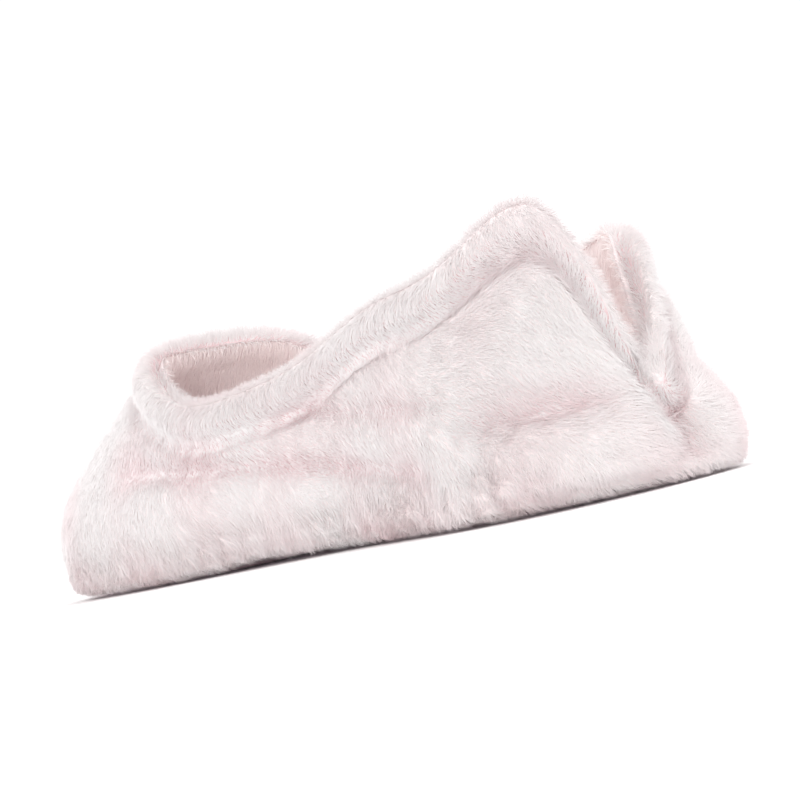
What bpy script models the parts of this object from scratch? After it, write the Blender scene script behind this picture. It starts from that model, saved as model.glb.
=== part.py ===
"""Plush ballerina slipper for the right foot, standing empty on its sole.

Every piece is worked out in the shoe's own directions: along (from the heel's rear edge to the toe),
across (from the middle line to the wearer's left, which is the inner side of a right foot) and up.
In the world the toe points to -Y, the inner side is +X and up is +Z, and the origin lies on the floor
under the middle of the slipper's box.

The sole's edge is a closed curve. At each station of that edge a profile climbs from the sole to the
collar, so the profiles together make the upper: a ring-shaped wall, open at the top and underneath.
"""

from collections import namedtuple
import math

import bmesh
import bpy
import numpy as np

MM = 0.001

# Driving sizes of the shoe
SOLE_LENGTH = 242 * MM
BALL_WIDTH = 86 * MM
INSTEP_HEIGHT = 68 * MM
WALL = 5.5 * MM
GAP = 0.3 * MM

# Levels above the floor
GRIP_HEIGHT = 1.2 * MM
SOLE_BOTTOM = GRIP_HEIGHT + GAP
RIM_UP = 3.8 * MM
SOLE_TOP = 9.0 * MM
INSOLE_BOTTOM = SOLE_TOP + GAP
INSOLE_TOP = 12.6 * MM

# Bend of the sole along its length
TOE_SPRING = 3.2 * MM
TOE_SPRING_START = 0.83 * SOLE_LENGTH
ARCH_RISE = 1.2 * MM
ARCH_START = 0.41 * SOLE_LENGTH
ARCH_END = 0.62 * SOLE_LENGTH
BEND_FULL_BELOW = 14 * MM
BEND_NONE_ABOVE = 44 * MM

# Rolled hem round the collar, seam at the back and rounding of the edges
HEM_WIDTH = 10.5 * MM
HEM_OUT = 2.4 * MM
HEM_IN = 0.9 * MM
HEM_CREASE = 1.7 * MM
HEM_CREASE_BREADTH = 2.4 * MM
SEAM_DEPTH = 2.6 * MM
SEAM_BREADTH = 5.5 * MM
RIM_ROUND = 0.7
FOLD_FADE = 14 * MM
BASE_FLATTEN = 14 * MM
SOLE_EDGE_IN = 3.0 * MM
INSOLE_ROUND = 1.0 * MM

# Mesh fineness, and the angle in degrees from which an edge is drawn sharp
SECTIONS = 54
EDGE_SAMPLES = 4000
PROFILE_SAMPLES = 80
LOW_ROWS = (0, 0.06, 0.13, 0.22, 0.32, 0.42, 0.52, 0.62, 0.72, 0.82, 0.92)
HEM_ROWS = (14, 12, 10.3, 8, 5.2, 2.4, 0)
INNER_LOW_ROWS = (0, 0.1, 0.24, 0.45, 0.7)
INNER_HEM_ROWS = (14, 8, 0)
ROUND_STEPS = 4
SHARP_ANGLE = 50

# A row for each station round the sole's edge: from the back seam forward along the inner side, over the
# toe and back along the outer side. along and collar_along are percent of the sole's length, across and
# collar_across percent of the ball's width, collar_up percent of the instep's height. The profile leaves
# the sole's edge toward a point low_out beyond it and low_up above it (mm). It reaches the collar from a
# point that lies high_in of the way (percent) from edge to collar, high_out beyond (mm), at high_up percent
# of the collar's height.
Station = namedtuple(
    "Station",
    "name along across collar_along collar_across collar_up low_out low_up high_in high_out high_up",
)
STATIONS = (
    Station("back_seam", 0, 0, 2.8, 0, 43, 6, 9, 60, 4, 66),
    Station("inner_heel_corner", 3.3, 25.5, 4.2, 14.0, 97, 7, 14, 80, 5, 68),
    Station("inner_heel", 12.4, 38.5, 12.6, 30.5, 94, 8, 15, 90, 6, 72),
    Station("inner_quarter", 25.0, 34.5, 25.0, 33.5, 86, 8, 15, 100, 7, 74),
    Station("inner_waist", 39.5, 29.0, 39.0, 32.5, 75, 7, 14, 100, 7, 74),
    Station("inner_arch", 55.0, 35.5, 53.0, 36.0, 69, 8, 14, 100, 7, 74),
    Station("inner_joint", 69.0, 43.0, 65.0, 35.5, 73, 8, 17, 92, 8, 74),
    Station("inner_ball", 82.0, 44.0, 74.5, 28.0, 92, 9, 21, 70, 4, 66),
    Station("inner_toe", 93.0, 35.5, 76.5, 15.0, 99, 10, 26, 44, 3, 68),
    Station("toe_tip", 100, 5.5, 77.0, -3.0, 100, 9, 31, 32, 3, 73),
    Station("outer_toe", 94.8, -31.0, 75.5, -21.5, 98, 10, 29, 40, 4, 71),
    Station("outer_ball", 85.0, -55.0, 72.5, -34.5, 90, 9, 22, 66, 6, 70),
    Station("outer_joint", 70.0, -52.0, 63.0, -42.5, 73, 8, 17, 92, 8, 74),
    Station("outer_waist", 53.0, -42.0, 51.0, -41.5, 69, 8, 14, 100, 7, 74),
    Station("outer_quarter", 37.0, -37.5, 36.0, -37.0, 75, 8, 15, 100, 7, 74),
    Station("outer_side", 23.0, -37.0, 23.0, -35.0, 87, 7, 15, 100, 6, 74),
    Station("outer_heel", 10.5, -33.0, 12.5, -27.5, 91, 4, 15, 90, 4, 72),
    Station("outer_heel_corner", 3.0, -21.0, 5.2, -14.5, 80, 3, 14, 80, 3, 68),
)

# A row for each soft fold of the plush. girth is the distance along the sole's edge from the back seam, plus
# along the inner side and minus along the outer side. Between its two ends the fold runs from one height to
# the other, with this breadth to either side, and rises from the wall or sinks into it (all in mm).
Fold = namedtuple("Fold", "name girth_from girth_to up_from up_to breadth rise")
FOLDS = (
    Fold("inner_low_ridge", 56, 235, 8, 14, 8, 1.6),
    Fold("inner_mid_trough", 50, 215, 14, 37, 6.5, -2.4),
    Fold("inner_high_trough", 44, 150, 29, 40, 5.5, -1.4),
    Fold("inner_heel_roll", 0, 46, 11, 12, 9, 4.2),
    Fold("inner_heel_crease", 8, 54, 25, 25, 5.5, -2.4),
    Fold("outer_heel_roll", -2, -50, 13, 13, 9, 1.4),
    Fold("outer_heel_crease", -10, -58, 28, 26, 6, -1.6),
    Fold("outer_low_ridge", -56, -225, 9, 12, 8, 1.4),
    Fold("outer_mid_trough", -60, -190, 20, 30, 6.5, -1.6),
)

# Rubber ribs under the sole
RIM_WIDTH = 2.6 * MM
RIB_WIDTH = 1.8 * MM
RIB_SHORT = 0.15 * MM
RIM_POINTS = 64
RIB_POINTS = 9
DIVIDER_STEPS = 100
FAN_CLEAR = 2.6 * MM

# A pad's rim is a closed curve through a few points (along, across, in mm). Both pads carry two families of
# ribs. A wave rib crosses the pad from rim to rim: its start and end step round the rim from start_from to
# start_to and from end_from to end_to, as percent of the way round for the first and the last rib, and it
# leaves them by lead_start and lead_end (along, across, in mm), which bend it to an S or an arc. The first
# wave rib divides the pad, and the fan ribs spread from it: they start at divider_from to divider_to percent
# of its length, end on the rim at rim_from to rim_to percent and bow sideways by bow percent of their length.
Waves = namedtuple("Waves", "count start_from start_to end_from end_to lead_start lead_end")
Fan = namedtuple("Fan", "count divider_from divider_to rim_from rim_to bow")
Pad = namedtuple("Pad", "name rim waves fan")
PADS = (
    Pad(
        "heel_grip",
        (
            (14, 0), (24, 12), (47, 17), (70, 13), (88, 1), (95, -13), (83, -24), (60, -28), (36, -26),
            (19, -14),
        ),
        Waves(4, 12.0, -3.0, 72.0, 84.0, (12, -6), (6, -12)),
        Fan(7, 14, 90, 19, 54, -12),
    ),
    Pad(
        "forefoot_grip",
        (
            (158, 12), (168, 21), (188, 24.5), (210, 23), (225, 15), (232, 1), (229, -16), (220, -32),
            (205, -41.5), (186, -42.5), (168, -39), (156, -29), (156.5, -10),
        ),
        Waves(7, 3.0, -17.0, 58.5, 79.0, (30, -13), (26, -11)),
        Fan(10, 9, 93, 13, 52, -10),
    ),
)

# Colours of the materials: red, green, blue, roughness
FINISHES = {
    "upper": (0.90, 0.80, 0.81, 0.95),
    "sole": (0.86, 0.75, 0.79, 0.90),
    "insole": (0.82, 0.66, 0.68, 0.95),
    "heel_grip": (0.88, 0.74, 0.77, 0.55),
    "forefoot_grip": (0.88, 0.74, 0.77, 0.55),
}


def clear_scene():
    """Remove whatever the scene holds."""
    for thing in list(bpy.data.objects):
        bpy.data.objects.remove(thing, do_unlink=True)


def smoothstep(value):
    """Rise from 0 to 1 with flat ends."""
    value = np.clip(value, 0, 1)
    return value * value * (3 - 2 * value)


def closed_spline(knots, values, period, where):
    """Smooth closed curve through rows of values: a cubic spline whose end joins its start."""
    count = len(knots)
    step = np.diff(np.append(knots, knots[0] + period))
    back = np.roll(step, 1)
    ahead = (np.roll(values, -1, 0) - values) / step[:, None]
    behind = np.roll(ahead, 1, 0)
    eye = np.eye(count)
    matrix = 2 * np.diag(back + step)
    matrix += back[:, None] * np.roll(eye, -1, 1) + step[:, None] * np.roll(eye, 1, 1)
    bend = np.linalg.solve(matrix, 6 * (ahead - behind))
    where = np.mod(np.asarray(where) - knots[0], period) + knots[0]
    index = np.clip(np.searchsorted(knots, where, side="right") - 1, 0, count - 1)
    following = (index + 1) % count
    width = step[index][:, None]
    part = (where - knots[index])[:, None] / width
    rest = 1 - part
    cubic = (rest ** 3 - rest) * bend[index] + (part ** 3 - part) * bend[following]
    return rest * values[index] + part * values[following] + cubic * width ** 2 / 6


def chord_knots(points):
    """Distances along the closed polygon through some points, and its whole length."""
    sides = np.linalg.norm(np.roll(points, -1, 0) - points, axis=1)
    return np.concatenate([[0], np.cumsum(sides)[:-1]]), sides.sum()


def bend_up(points):
    """Lift points by the arch and the toe spring: fully at the sole, less and less up the wall."""
    along, up = points[..., 0], points[..., 2]
    toe = np.clip((along - TOE_SPRING_START) / (SOLE_LENGTH - TOE_SPRING_START), 0, None)
    arch = np.clip((along - ARCH_START) / (ARCH_END - ARCH_START), 0, 1)
    lift = TOE_SPRING * toe ** 2 + ARCH_RISE * np.sin(math.pi * arch) ** 2
    fade = 1 - smoothstep((up - BEND_FULL_BELOW) / (BEND_NONE_ABOVE - BEND_FULL_BELOW))
    lifted = points.copy()
    lifted[..., 2] = up + lift * fade
    return lifted


class Shoe:
    """The stations of the sole's edge and the wall that climbs from them."""

    def __init__(self):
        table = np.array([row[1:] for row in STATIONS], float)
        length, width, height = SOLE_LENGTH / 100, BALL_WIDTH / 100, INSTEP_HEIGHT / 100
        percent = 0.01
        scale = np.array([length, width, length, width, height, MM, MM, percent, MM, percent])
        self.table = table * scale
        self.knots, self.period = chord_knots(self.table[:, :2])
        self.pick_stations()
        self.shape_outer()
        self.shape_inner()

    def pick_stations(self):
        """Choose stations in pairs, one on each side at the same distance along the sole."""
        fine = np.arange(EDGE_SAMPLES) / EDGE_SAMPLES * self.period
        edge = closed_spline(self.knots, self.table[:, :2], self.period, fine)
        rear, tip = np.argmin(edge[:, 0]), np.argmax(edge[:, 0])
        fine = np.roll(fine, -rear)
        fine = np.where(fine < fine[0], fine + self.period, fine)
        edge = np.roll(edge, -rear, 0)
        tip = (tip - rear) % len(fine)
        turn = 0.5 - 0.5 * np.cos(np.linspace(0, math.pi, SECTIONS + 1))
        along = edge[0, 0] + (edge[tip, 0] - edge[0, 0]) * turn
        inner_side = np.interp(along, edge[: tip + 1, 0], fine[: tip + 1])
        outer_side = np.interp(along[1:-1], edge[tip:, 0][::-1], fine[tip:][::-1])
        where = np.concatenate([inner_side, outer_side[::-1]])
        columns = closed_spline(self.knots, self.table, self.period, where)
        self.edge = columns[:, :2]
        self.collar = columns[:, 2:5]
        self.low_out, self.low_up, self.high_in, self.high_out, self.high_up = columns[:, 5:].T
        ahead = closed_spline(self.knots, self.table[:, :2], self.period, where + MM)
        behind = closed_spline(self.knots, self.table[:, :2], self.period, where - MM)
        tangent = (ahead - behind) / np.linalg.norm(ahead - behind, axis=1)[:, None]
        self.out = np.column_stack([-tangent[:, 1], tangent[:, 0]])
        self.out *= np.sign((self.out * (self.edge - self.edge.mean(0))).sum(1))[:, None]
        girth = where - where[0]
        self.girth = np.where(girth > self.period / 2, girth - self.period, girth)

    def profile(self):
        """Fine curves from the sole's edge to the collar, one for each station."""
        out = np.column_stack([self.out, np.zeros(len(self.out))])
        flat_edge = np.column_stack([self.edge, np.zeros(len(self.edge))])
        upward = np.array([0, 0, 1.0])
        foot = flat_edge + out * (WALL + GAP) + upward * RIM_UP
        low = foot + out * self.low_out[:, None] + upward * self.low_up[:, None]
        reach = (self.collar - flat_edge) * np.array([1, 1, 0])
        high = flat_edge + reach * self.high_in[:, None] + out * self.high_out[:, None]
        high[:, 2] = self.collar[:, 2] * self.high_up
        t = np.linspace(0, 1, PROFILE_SAMPLES)[None, :, None]
        s = 1 - t
        ends = s ** 3 * foot[:, None] + t ** 3 * self.collar[:, None]
        return ends + 3 * s * s * t * low[:, None] + 3 * s * t * t * high[:, None]

    def rows(self, fine, low_rows, hem_rows):
        """Read each profile at rows: fractions of its lower part, then distances from the collar (mm)."""
        steps = np.linalg.norm(np.diff(fine, axis=1), axis=2)
        far = np.concatenate([np.zeros((len(fine), 1)), np.cumsum(steps, 1)], 1)
        whole = far[:, -1:]
        hem = np.array(hem_rows) * MM
        place = np.concatenate([np.array(low_rows) * (whole - hem[0]), whole - hem], 1)
        points = np.array([
            [np.interp(place[i], far[i], fine[i, :, axis]) for axis in range(3)] for i in range(len(fine))])
        return points.transpose(0, 2, 1), place, whole

    def normals(self, points):
        """Outward directions of a wall given as stations by rows."""
        around = np.roll(points, -1, 0) - np.roll(points, 1, 0)
        climb = np.gradient(points, axis=1)
        normal = np.cross(climb, around)
        normal /= np.linalg.norm(normal, axis=2)[..., None]
        facing = (normal[:, 1, :2] * self.out).sum(1)
        return normal * np.sign(np.median(facing))

    def fold_rise(self, up):
        """How far the folds lift the wall at each station and height."""
        rise = np.zeros_like(up)
        for fold in FOLDS:
            low, high = sorted((fold.girth_from * MM, fold.girth_to * MM))
            enter = smoothstep((self.girth - low) / FOLD_FADE)
            leave = smoothstep((high - self.girth) / FOLD_FADE)
            part = np.clip((self.girth / MM - fold.girth_from) / (fold.girth_to - fold.girth_from), 0, 1)
            line = (fold.up_from + (fold.up_to - fold.up_from) * part) * MM
            away = (up - line[:, None]) / (fold.breadth * MM)
            rise += (enter * leave)[:, None] * fold.rise * MM * np.exp(-away ** 2)
        valley = np.exp(-(self.girth / SEAM_BREADTH) ** 2)
        return rise - SEAM_DEPTH * valley[:, None]

    def shape_outer(self):
        """Outer face of the plush: the plain wall, its folds, and the hem rolled round the collar."""
        plain, place, whole = self.rows(self.profile(), LOW_ROWS, HEM_ROWS)
        normal = self.normals(plain)
        below = whole - place
        roll = np.clip(1 - ((below - HEM_WIDTH / 2) / (HEM_WIDTH / 2)) ** 2, 0, None) ** 0.5
        crease = np.exp(-((below - HEM_WIDTH - HEM_CREASE_BREADTH) / HEM_CREASE_BREADTH) ** 2)
        above_rim = smoothstep(place / RIM_UP)
        rise = self.fold_rise(plain[..., 2]) * above_rim * smoothstep(below / HEM_WIDTH)
        rise += HEM_OUT * roll - HEM_CREASE * crease
        self.outer = plain + normal * rise[..., None]

    def shape_inner(self):
        """Inner face: the plain wall moved in by its thickness, with the hem rolled a little inward."""
        plain, place, whole = self.rows(self.profile(), INNER_LOW_ROWS, INNER_HEM_ROWS)
        normal = self.normals(plain)
        normal[..., 2] *= smoothstep(place / BASE_FLATTEN)
        normal /= np.linalg.norm(normal, axis=2)[..., None]
        below = whole - place
        roll = np.clip(1 - ((below - HEM_WIDTH / 2) / (HEM_WIDTH / 2)) ** 2, 0, None) ** 0.5
        self.inner = plain - normal * (WALL + HEM_IN * roll)[..., None]

    def inner_edge(self, up, inset):
        """Loop of the inner face at one height, moved inward by the inset."""
        shift = np.array([
            [np.interp(up, row[:, 2], row[:, axis]) for axis in range(2)] for row in self.inner])
        return np.column_stack([shift - self.out * inset, np.full(len(shift), up)])


def round_over(start, end, lift):
    """Rows of a rounded edge from one loop to another, bulging by lift."""
    middle, half = (start + end) / 2, (start - end) / 2
    angles = np.linspace(0, math.pi, ROUND_STEPS + 1)[1:-1]
    return [middle + half * math.cos(angle) + lift * math.sin(angle) for angle in angles]


def ring_faces(loops, count):
    """Quads between neighbouring loops of count points, closed round the shoe."""
    faces = []
    for level in range(loops - 1):
        for i in range(count):
            j = (i + 1) % count
            low, high = level * count, (level + 1) * count
            faces.append((low + i, low + j, high + j, high + i))
    return faces


def cap_faces(start, count):
    """Fill a loop across the shoe, from each station to its partner on the other side."""
    half = count // 2
    faces = [(start, start + 1, start + count - 1)]
    for i in range(1, half - 1):
        faces.append((start + i, start + i + 1, start + count - i - 1, start + count - i))
    faces.append((start + half - 1, start + half, start + half + 1))
    return faces


def material_of(name):
    """Plain material in the piece's own colour."""
    red, green, blue, roughness = FINISHES[name]
    material = bpy.data.materials.new(name)
    material.use_nodes = True
    shader = material.node_tree.nodes["Principled BSDF"]
    shader.inputs["Base Color"].default_value = (red, green, blue, 1)
    shader.inputs["Roughness"].default_value = roughness
    shader.inputs["Metallic"].default_value = 0
    return material


def to_world(points, middle):
    """Turn along, across and up into world coordinates about the middle of the slipper's box."""
    return np.column_stack([points[:, 1] - middle[1], middle[0] - points[:, 0], points[:, 2]])


def add_object(name, points, faces, finish):
    """Make an object from points and faces, with its faces pointing out."""
    mesh = bpy.data.meshes.new(name)
    mesh.from_pydata(points.tolist(), [], faces)
    shell = bmesh.new()
    shell.from_mesh(mesh)
    bmesh.ops.recalc_face_normals(shell, faces=shell.faces)
    shell.to_mesh(mesh)
    shell.free()
    mesh.shade_smooth()
    mesh.set_sharp_from_angle(angle=math.radians(SHARP_ANGLE))
    mesh.materials.append(finish)
    thing = bpy.data.objects.new(name, mesh)
    bpy.context.scene.collection.objects.link(thing)
    return thing


def upper_shell(shoe):
    """The plush wall: outer face, rounded top of the hem, inner face and rounded lower rim."""
    outer, inner = shoe.outer, shoe.inner
    top_climb = outer[:, -1] - outer[:, -2]
    top_climb /= np.linalg.norm(top_climb, axis=1)[:, None]
    foot_drop = np.array([0, 0, -WALL / 2 * RIM_ROUND])
    loops = [outer[:, row] for row in range(outer.shape[1])]
    loops += round_over(outer[:, -1], inner[:, -1], top_climb * WALL / 2 * RIM_ROUND)
    loops += [inner[:, row] for row in reversed(range(inner.shape[1]))]
    loops += round_over(inner[:, 0], outer[:, 0], foot_drop)
    loops.append(outer[:, 0])
    count = len(outer)
    faces = ring_faces(len(loops), count)
    last = (len(loops) - 1) * count
    faces = [tuple(point - last if point >= last else point for point in face) for face in faces]
    return bend_up(np.concatenate(loops[:-1])), faces


def slab(loops):
    """Closed plate from loops that run from the middle of its underside to the middle of its top."""
    count = len(loops[0])
    last = (len(loops) - 1) * count
    faces = ring_faces(len(loops), count) + cap_faces(0, count) + cap_faces(last, count)
    return bend_up(np.concatenate(loops)), faces


def sole_plate(shoe):
    """Foam and twill: a flat underside, a rounded lower edge and sides that follow the wall's inner face."""
    side = shoe.inner_edge(RIM_UP, GAP)
    loops = []
    for angle in np.linspace(0, math.pi / 2, ROUND_STEPS):
        loop = side.copy()
        loop[:, :2] -= shoe.out * SOLE_EDGE_IN * (1 - math.sin(angle))
        loop[:, 2] = RIM_UP - (RIM_UP - SOLE_BOTTOM) * math.cos(angle)
        loops.append(loop)
    loops += [shoe.inner_edge((RIM_UP + SOLE_TOP) / 2, GAP), shoe.inner_edge(SOLE_TOP, GAP)]
    return slab(loops)


def insole_plate(shoe):
    """Padded footbed on the sole, inside the wall."""
    return slab([
        shoe.inner_edge(INSOLE_BOTTOM, GAP),
        shoe.inner_edge(INSOLE_TOP - INSOLE_ROUND, GAP),
        shoe.inner_edge(INSOLE_TOP, GAP + INSOLE_ROUND),
    ])


def bar(points, width, low, high, closed):
    """Bar of rectangular section along a flat path."""
    ahead = np.gradient(points, axis=0)
    if closed:
        ahead = np.roll(points, -1, 0) - np.roll(points, 1, 0)
    ahead /= np.linalg.norm(ahead, axis=1)[:, None]
    side = np.column_stack([-ahead[:, 1], ahead[:, 0]]) * width / 2
    corners = [(side, low), (-side, low), (-side, high), (side, high)]
    rings = [np.column_stack([points + shift, np.full(len(points), level)]) for shift, level in corners]
    count = len(points)
    faces = []
    for i in range(count if closed else count - 1):
        j = (i + 1) % count
        for k in range(4):
            m = (k + 1) % 4
            faces.append((k * count + i, k * count + j, m * count + j, m * count + i))
    if not closed:
        faces += [tuple(k * count for k in range(4)), tuple(k * count + count - 1 for k in range(4))]
    return bend_up(np.concatenate(rings)), faces


def bezier(start, lead_start, lead_end, end, count):
    """Points of a cubic curve from its ends and its two inner control points."""
    t = np.linspace(0, 1, count)[:, None]
    s = 1 - t
    return s ** 3 * start + 3 * s * s * t * lead_start + 3 * s * t * t * lead_end + t ** 3 * end


def spread(first, last, count):
    """Evenly spaced values, as fractions, from two percentages."""
    return np.linspace(first, last, count) / 100


def rib_paths(pad, rim_at):
    """Paths of a pad's ribs: waves from rim to rim, then the fan that spreads from the first wave."""
    waves, fan = pad.waves, pad.fan
    starts = rim_at(spread(waves.start_from, waves.start_to, waves.count))
    ends = rim_at(spread(waves.end_from, waves.end_to, waves.count))
    reach = np.linalg.norm(ends - starts, axis=1) / np.linalg.norm(ends[0] - starts[0])
    leads_start = starts + np.array(waves.lead_start) * MM * reach[:, None]
    leads_end = ends - np.array(waves.lead_end) * MM * reach[:, None]
    controls = list(zip(starts, leads_start, leads_end, ends))
    paths = [bezier(*points, RIB_POINTS) for points in controls]
    divider = bezier(*controls[0], DIVIDER_STEPS + 1)
    steps = spread(fan.divider_from, fan.divider_to, fan.count) * DIVIDER_STEPS
    roots = divider[np.round(steps).astype(int)]
    tips = rim_at(spread(fan.rim_from, fan.rim_to, fan.count))
    for root, tip in zip(roots, tips):
        ahead = tip - root
        bow = np.array([-ahead[1], ahead[0]]) * fan.bow / 100
        root = root + ahead * FAN_CLEAR / np.linalg.norm(ahead)
        third = (tip - root) / 3
        paths.append(bezier(root, root + third + bow, tip - third + bow, tip, RIB_POINTS))
    return paths


def grip_pad(pad, middle):
    """Rubber pad: a closed rim with its ribs joined to it."""
    rim_knots = np.array(pad.rim, float) * MM
    knots, period = chord_knots(rim_knots)

    def rim_at(part):
        return closed_spline(knots, rim_knots, period, np.asarray(part) * period)

    finish = material_of(pad.name)
    rim = rim_at(np.arange(RIM_POINTS) / RIM_POINTS)
    points, faces = bar(rim, RIM_WIDTH, 0, GRIP_HEIGHT, True)
    body = add_object(pad.name, to_world(points, middle), faces, finish)
    ribs = bpy.data.collections.new(pad.name + "_ribs")
    bpy.context.scene.collection.children.link(ribs)
    for number, path in enumerate(rib_paths(pad, rim_at)):
        points, faces = bar(path, RIB_WIDTH, RIB_SHORT, GRIP_HEIGHT - RIB_SHORT / 2, False)
        rib = add_object(f"{pad.name}_rib_{number}", to_world(points, middle), faces, finish)
        bpy.context.scene.collection.objects.unlink(rib)
        ribs.objects.link(rib)
        rib.hide_render = True
        rib.display_type = "WIRE"
    union = body.modifiers.new("ribs", "BOOLEAN")
    union.operation = "UNION"
    union.solver = "EXACT"
    union.operand_type = "COLLECTION"
    union.collection = ribs


def main():
    """Build the upper, the sole, the footbed and the two grip pads."""
    clear_scene()
    shoe = Shoe()
    upper_points, upper_faces = upper_shell(shoe)
    middle = (upper_points.min(0) + upper_points.max(0)) / 2
    add_object("upper", to_world(upper_points, middle), upper_faces, material_of("upper"))
    for name, plate in (("sole", sole_plate), ("insole", insole_plate)):
        points, faces = plate(shoe)
        add_object(name, to_world(points, middle), faces, material_of(name))
    for pad in PADS:
        grip_pad(pad, middle)


main()
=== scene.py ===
"""Plush ballerina slipper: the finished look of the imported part, laid out as a Blender add-on.

The upper's wall is worked out again from the same stations and folds as the solid, on a finer grid: a closed
loop at each station, up the outside, over the rolled hem and down the lining. A knitted backing lies a little
below that face, and pile made of thin tapered strands grows from it out to the face.

Shoe directions: along from heel to toe, across from the middle line to the inner side, up. In the world the
toe points to -Y and the inner side is +X.
"""

from collections import namedtuple
import functools
import math

import bmesh
import bpy
import numpy as np
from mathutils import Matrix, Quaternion, Vector


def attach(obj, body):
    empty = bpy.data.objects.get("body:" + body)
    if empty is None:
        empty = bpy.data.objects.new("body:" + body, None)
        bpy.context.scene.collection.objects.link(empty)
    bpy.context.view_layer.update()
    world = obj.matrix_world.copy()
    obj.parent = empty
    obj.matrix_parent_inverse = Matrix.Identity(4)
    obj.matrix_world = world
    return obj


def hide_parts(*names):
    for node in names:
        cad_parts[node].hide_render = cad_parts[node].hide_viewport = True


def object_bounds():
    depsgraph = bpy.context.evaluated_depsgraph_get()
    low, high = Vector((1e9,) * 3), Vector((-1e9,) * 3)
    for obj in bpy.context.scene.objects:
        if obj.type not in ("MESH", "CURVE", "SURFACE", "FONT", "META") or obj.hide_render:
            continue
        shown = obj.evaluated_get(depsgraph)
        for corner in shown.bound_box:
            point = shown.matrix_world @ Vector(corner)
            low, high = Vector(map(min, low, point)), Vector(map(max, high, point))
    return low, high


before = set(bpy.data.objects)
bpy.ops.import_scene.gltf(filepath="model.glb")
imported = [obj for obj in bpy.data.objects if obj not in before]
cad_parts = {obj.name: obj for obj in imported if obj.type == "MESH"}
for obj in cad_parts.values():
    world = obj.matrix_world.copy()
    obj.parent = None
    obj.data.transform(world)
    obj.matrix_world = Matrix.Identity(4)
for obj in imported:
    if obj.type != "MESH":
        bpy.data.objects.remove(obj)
CAD_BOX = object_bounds()

bl_info = {
    "name": "Plush ballerina slipper",
    "version": (1, 0, 0),
    "blender": (4, 5, 0),
    "location": "View3D > Sidebar > Slipper",
    "description": "Builds a pale pink plush house slipper with a twill sole and rubber grips",
    "category": "Object",
}

MM = 0.001
TINY = 1e-12
BODY = "root"

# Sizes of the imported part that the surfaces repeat
SOLE_LENGTH = 242 * MM
BALL_WIDTH = 86 * MM
INSTEP_HEIGHT = 68 * MM
WALL = 5.5 * MM
GAP = 0.3 * MM
RIM_UP = 3.8 * MM
SOLE_BOTTOM = 1.5 * MM
SOLE_TOP = 9.0 * MM
SOLE_EDGE_IN = 3.0 * MM
INSOLE_BOTTOM = 9.3 * MM
INSOLE_TOP = 12.6 * MM
TOE_SPRING = 3.2 * MM
TOE_SPRING_START = 0.83 * SOLE_LENGTH
ARCH_RISE = 1.2 * MM
ARCH_START = 0.41 * SOLE_LENGTH
ARCH_END = 0.62 * SOLE_LENGTH
BEND_FULL_BELOW = 14 * MM
BEND_NONE_ABOVE = 44 * MM
HEM_WIDTH = 10.5 * MM
HEM_OUT = 2.4 * MM
HEM_IN = 0.9 * MM
HEM_CREASE = 1.7 * MM
HEM_CREASE_BREADTH = 2.4 * MM
HEM_REGION = 14 * MM
SEAM_DEPTH = 2.6 * MM
SEAM_BREADTH = 5.5 * MM
RIM_ROUND = 0.7
FOLD_FADE = 14 * MM
BASE_FLATTEN = 14 * MM

# Grid of the wall: stations to a side, then rows of each stretch of the loop
SECTIONS = 200
PROFILE_SAMPLES = 120
EDGE_SAMPLES = 4000
OUTER_LOW_ROWS = 44
OUTER_HEM_ROWS = 20
TOP_ROWS = 8
INNER_HEM_ROWS = 12
INNER_LOW_ROWS = 26
FOOT_ROWS = 6

# A distance beyond any on the slipper (m), then how near points merge and slivers go
FAR = 1.0
MERGE_WITHIN = 0.01 * MM
SLIVER_WITHIN = 0.005 * MM

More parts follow.
